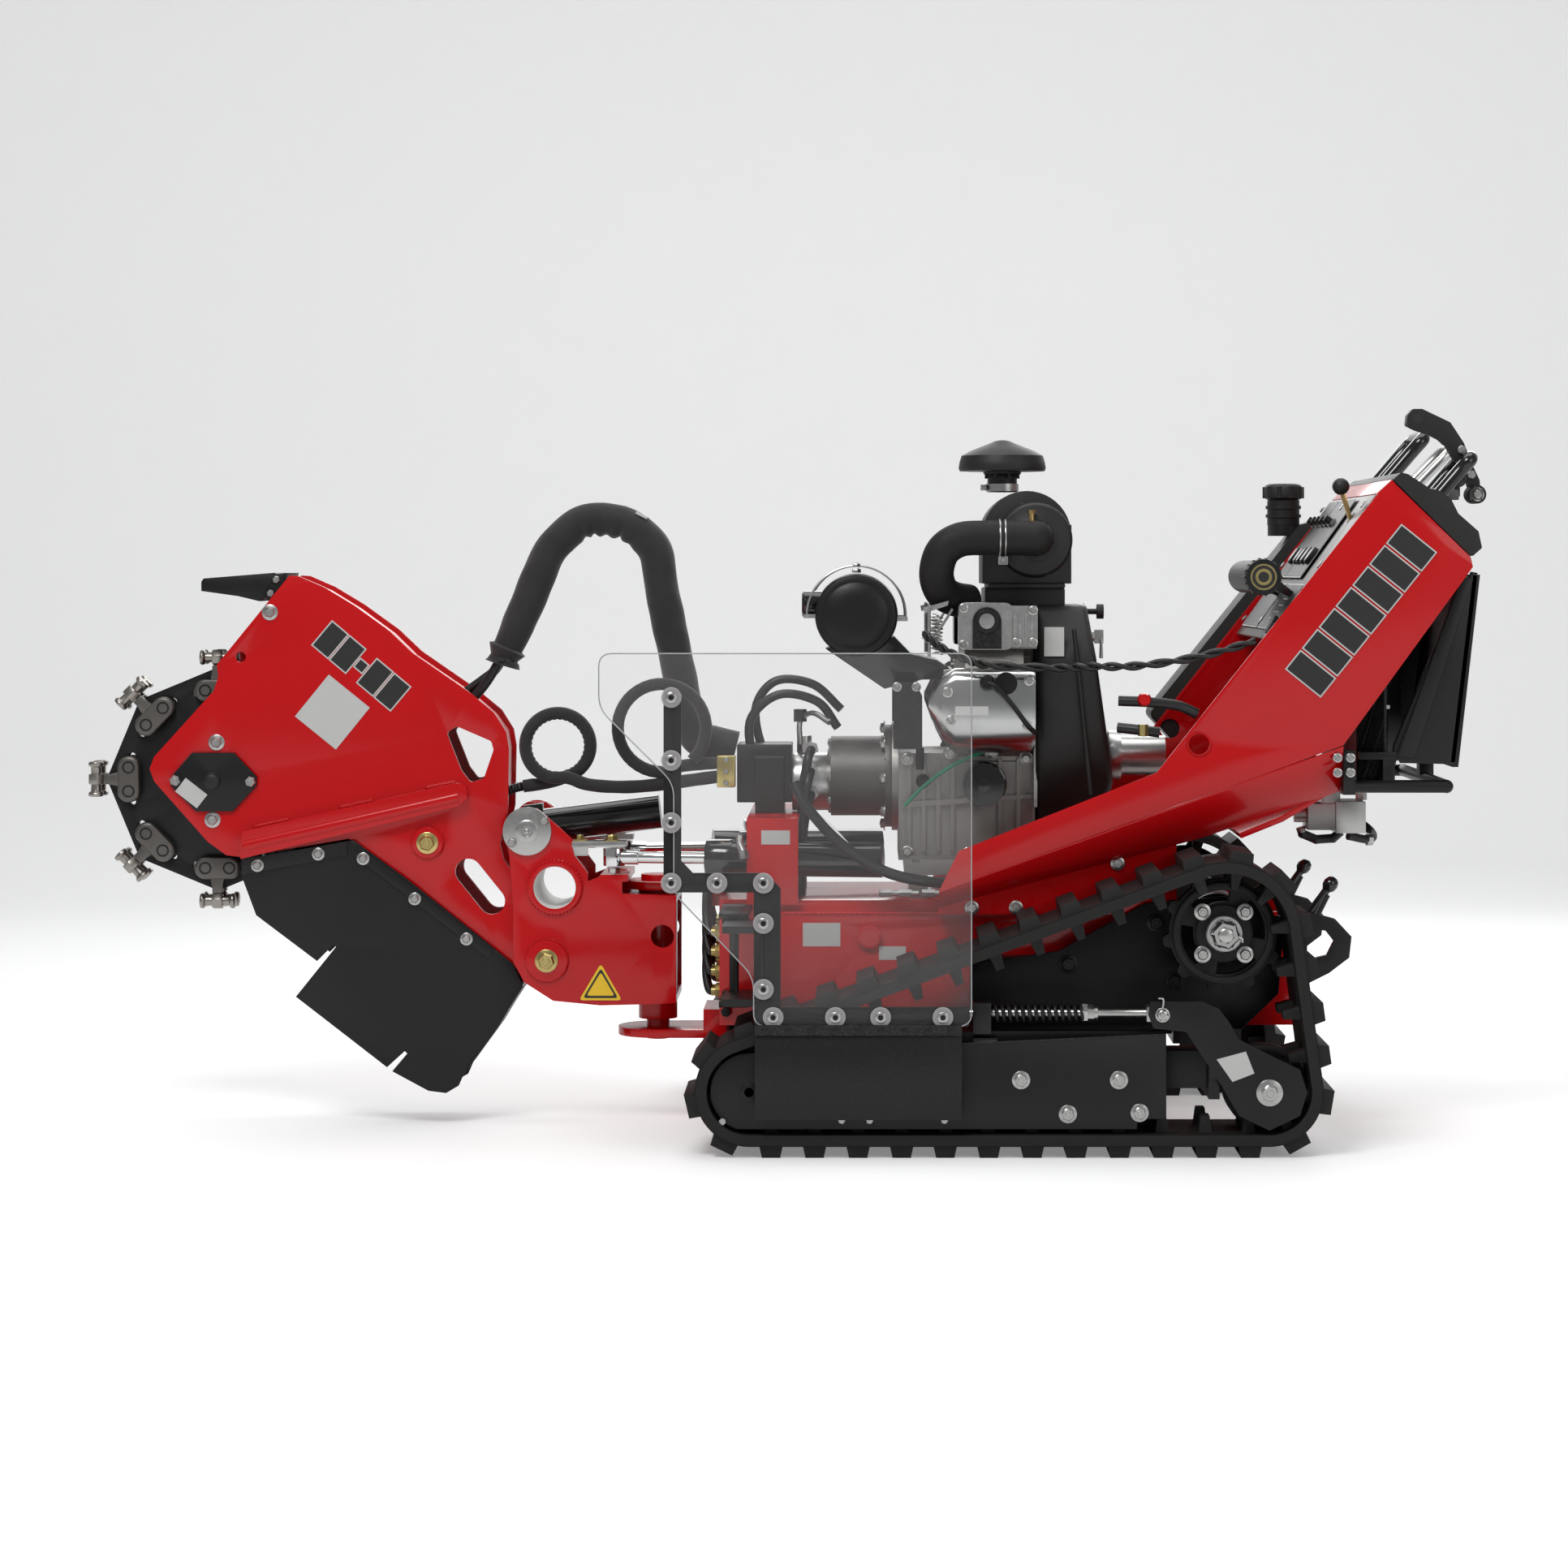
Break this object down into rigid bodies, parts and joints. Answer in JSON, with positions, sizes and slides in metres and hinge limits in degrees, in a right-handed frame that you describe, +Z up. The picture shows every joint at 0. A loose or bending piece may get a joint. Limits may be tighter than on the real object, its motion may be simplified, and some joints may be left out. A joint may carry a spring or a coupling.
{
  "type": "stump grinder",
  "caption": "Walk-behind tracked stump grinder: toothed cutter disc on a swinging, lifting boom, engine hull on rubber tracks, raised operator console.",
  "frame": {"origin": "on the ground, on the machine centreline, midway between the front and rear idler axles of the tracks", "axes": "+X back toward the operator, +Y to the machine right-hand side away from the shield, +Z up"},
  "size_m": [2.426, 0.915, 1.242],
  "materials": {
    "red_paint": "glossy red powder coat",
    "black_paint": "satin black paint",
    "black_plastic": "moulded black",
    "rubber": "black rubber",
    "sleeve": "woven protective sleeve",
    "chrome": "polished",
    "zinc": "zinc plated",
    "cast_aluminium": "as cast",
    "tool_steel": "dark heat-treated",
    "clear_sheet": "clear plastic sheet"
  },
  "bodies": {
    "chassis": {"chassis_frame": "red_paint", "tower_frame": "red_paint", "control_panel": "cast_aluminium", "tower_end_cap": "black_plastic", "handle_bars": "black_paint", "oil_cooler": "black_paint", "cooler_guard": "black_paint", "rear_valve": "zinc", "tie_down_hooks": "black_paint", "engine_block": "cast_aluminium", "flywheel_shroud": "black_plastic", "cylinder_shrouds": "zinc", "muffler": "black_paint", "air_cleaner": "black_plastic", "intake_hose": "rubber", "oil_filter": "black_paint", "bell_housing": "black_paint", "hydraulic_units": "cast_aluminium", "valve_block": "black_paint", "fuel_tank": "black_plastic", "document_canister": "black_plastic", "pump_hoses": "rubber", "track_frames": "black_paint", "track_belts": "rubber", "base_bolts": "zinc"},
    "swing": {"swing_frame": "red_paint", "hose_bundle": "sleeve"},
    "head": {"head_frame": "red_paint", "chip_guards": "black_paint", "hub_covers": "black_paint", "head_bolts": "zinc"},
    "cutter": {"cutter_wheel": "black_paint", "tooth_holders": "tool_steel", "cutter_teeth": "tool_steel"},
    "lift_cylinder": {"lift_barrel": "black_paint"},
    "lift_piston": {"lift_rod": "chrome"},
    "swing_cylinder_left": {"swing_barrel_left": "black_paint"},
    "swing_piston_left": {"swing_rod_left": "chrome"},
    "swing_cylinder_right": {"swing_barrel_right": "black_paint"},
    "swing_piston_right": {"swing_rod_right": "chrome"},
    "drive_sprocket_left": {"sprocket_left": "black_paint"},
    "front_wheel_left": {"front_idler_left": "black_paint"},
    "rear_wheel_left": {"rear_idler_left": "black_paint"},
    "carriage_left": {"idler_carriage_left": "black_paint", "tension_spring_left": "black_paint"},
    "drive_sprocket_right": {"sprocket_right": "black_paint"},
    "front_wheel_right": {"front_idler_right": "black_paint"},
    "rear_wheel_right": {"rear_idler_right": "black_paint"},
    "carriage_right": {"idler_carriage_right": "black_paint", "tension_spring_right": "black_paint"},
    "shield": {"shield_sheet": "clear_sheet", "shield_bracket": "black_paint"},
    "fan": {"cooler_fan": "black_plastic"},
    "choke": {"choke_knob": "black_plastic"},
    "key": {"ignition_key": "zinc"},
    "cap": {"fuel_cap": "black_plastic"},
    "rocker": {"rocker_switch": "black_plastic"},
    "throttle": {"throttle_lever": "black_plastic"},
    "drive_bail": {"drive_lever": "chrome"},
    "grip": {"presence_grip": "black_plastic"}
  },
  "joints": [
    {"name": "boom_swing", "type": "hinge", "parent": "chassis", "child": "swing", "pos_m": [-0.603, 0, 0.3], "axis": [0, 0, 1], "range_deg": [-20, 20]},
    {"name": "boom_lift", "type": "hinge", "parent": "swing", "child": "head", "pos_m": [-0.791, 0, 0.288], "axis": [0, -1, 0], "range_deg": [0, 45]},
    {"name": "cutter_spin", "type": "hinge", "parent": "head", "child": "cutter", "pos_m": [-1.376, 0, 0.599], "axis": [0, -1, 0], "continuous": true},
    {"name": "lift_cylinder_tilt", "type": "hinge", "parent": "swing", "child": "lift_cylinder", "pos_m": [-0.825, 0, 0.513], "axis": [0, -1, 0], "range_deg": [0, 36.58]},
    {"name": "lift_rod_extend", "type": "slide", "parent": "lift_cylinder", "child": "lift_piston", "axis": [-0.9923, 0, -0.124], "range_m": [0, 0.1726]},
    {"name": "swing_cylinder_turn_left", "type": "hinge", "parent": "chassis", "child": "swing_cylinder_left", "pos_m": [-0.396, -0.135, 0.468], "axis": [0, 0, 1], "range_deg": [-4.1, 4.1]},
    {"name": "swing_rod_extend_left", "type": "slide", "parent": "swing_cylinder_left", "child": "swing_piston_left", "axis": [-0.9882, 0.1529, 0], "range_m": [-0.0358, 0.0358]},
    {"name": "track_drive_left", "type": "hinge", "parent": "chassis", "child": "drive_sprocket_left", "pos_m": [0.358, -0.355, 0.364], "axis": [0, 1, 0], "continuous": true},
    {"name": "front_idler_spin_left", "type": "hinge", "parent": "chassis", "child": "front_wheel_left", "pos_m": [-0.428, -0.355, 0.108], "axis": [0, 1, 0], "continuous": true},
    {"name": "track_tension_left", "type": "slide", "parent": "chassis", "child": "carriage_left", "axis": [1, 0, 0], "range_m": [-0.012, 0], "deforming": ["tension_spring_left"]},
    {"name": "rear_idler_spin_left", "type": "hinge", "parent": "carriage_left", "child": "rear_wheel_left", "pos_m": [0.427, -0.355, 0.108], "axis": [0, 1, 0], "continuous": true},
    {"name": "swing_cylinder_turn_right", "type": "hinge", "parent": "chassis", "child": "swing_cylinder_right", "pos_m": [-0.396, 0.135, 0.468], "axis": [0, 0, 1], "range_deg": [-4.1, 4.1]},
    {"name": "swing_rod_extend_right", "type": "slide", "parent": "swing_cylinder_right", "child": "swing_piston_right", "axis": [-0.9882, -0.1529, 0], "range_m": [-0.0358, 0.0358]},
    {"name": "track_drive_right", "type": "hinge", "parent": "chassis", "child": "drive_sprocket_right", "pos_m": [0.358, 0.355, 0.364], "axis": [0, 1, 0], "continuous": true},
    {"name": "front_idler_spin_right", "type": "hinge", "parent": "chassis", "child": "front_wheel_right", "pos_m": [-0.428, 0.355, 0.108], "axis": [0, 1, 0], "continuous": true},
    {"name": "track_tension_right", "type": "slide", "parent": "chassis", "child": "carriage_right", "axis": [1, 0, 0], "range_m": [-0.012, 0], "deforming": ["tension_spring_right"]},
    {"name": "rear_idler_spin_right", "type": "hinge", "parent": "carriage_right", "child": "rear_wheel_right", "pos_m": [0.427, 0.355, 0.108], "axis": [0, 1, 0], "continuous": true},
    {"name": "shield_swing", "type": "hinge", "parent": "chassis", "child": "shield", "pos_m": [-0.457, -0.325, 0.3], "axis": [0, 0, 1], "range_deg": [-40, 0]},
    {"name": "fan_spin", "type": "hinge", "parent": "chassis", "child": "fan", "pos_m": [0.66, 0, 0.735], "axis": [1, 0, 0], "continuous": true},
    {"name": "choke_pull", "type": "slide", "parent": "chassis", "child": "choke", "axis": [1, 0, 0], "range_m": [0, 0.018]},
    {"name": "key_turn", "type": "hinge", "parent": "chassis", "child": "key", "pos_m": [0.16, -0.04, 0.85], "axis": [1, 0, 0], "range_deg": [0, 90]},
    {"name": "fuel_cap_lift", "type": "slide", "parent": "chassis", "child": "cap", "axis": [0, 0, 1], "range_m": [0, 0.05]},
    {"name": "rocker_tip", "type": "hinge", "parent": "chassis", "child": "rocker", "pos_m": [0.45522, -0.21, 0.87453], "axis": [0, 1, 0], "range_deg": [0, 0.5]},
    {"name": "throttle_turn", "type": "hinge", "parent": "chassis", "child": "throttle", "pos_m": [0.6, -0.181, 1.04], "axis": [0, 1, 0], "range_deg": [0, 10]},
    {"name": "drive_bail_tilt", "type": "hinge", "parent": "chassis", "child": "drive_bail", "pos_m": [0.724, 0, 1.112], "axis": [0, 1, 0], "range_deg": [-15, 15]},
    {"name": "grip_squeeze", "type": "hinge", "parent": "chassis", "child": "grip", "pos_m": [0.806, -0.192, 1.096], "axis": [0, 1, 0], "range_deg": [-10, 0]}
  ],
  "couplings": [
    {"joint": "lift_cylinder_tilt", "follows": "boom_lift", "ratio": 0.80834},
    {"joint": "lift_rod_extend", "follows": "boom_lift", "m_per_rad": 0.21911},
    {"joint": "swing_cylinder_turn_left", "follows": "boom_swing", "ratio": 0.19513},
    {"joint": "swing_rod_extend_left", "follows": "boom_swing", "m_per_rad": -0.10109},
    {"joint": "front_idler_spin_left", "follows": "track_drive_left", "ratio": 1.425},
    {"joint": "rear_idler_spin_left", "follows": "track_drive_left", "ratio": 1.425},
    {"joint": "swing_cylinder_turn_right", "follows": "boom_swing", "ratio": 0.19513},
    {"joint": "swing_rod_extend_right", "follows": "boom_swing", "m_per_rad": 0.10109},
    {"joint": "front_idler_spin_right", "follows": "track_drive_right", "ratio": 1.425},
    {"joint": "rear_idler_spin_right", "follows": "track_drive_right", "ratio": 1.425}
  ]
}
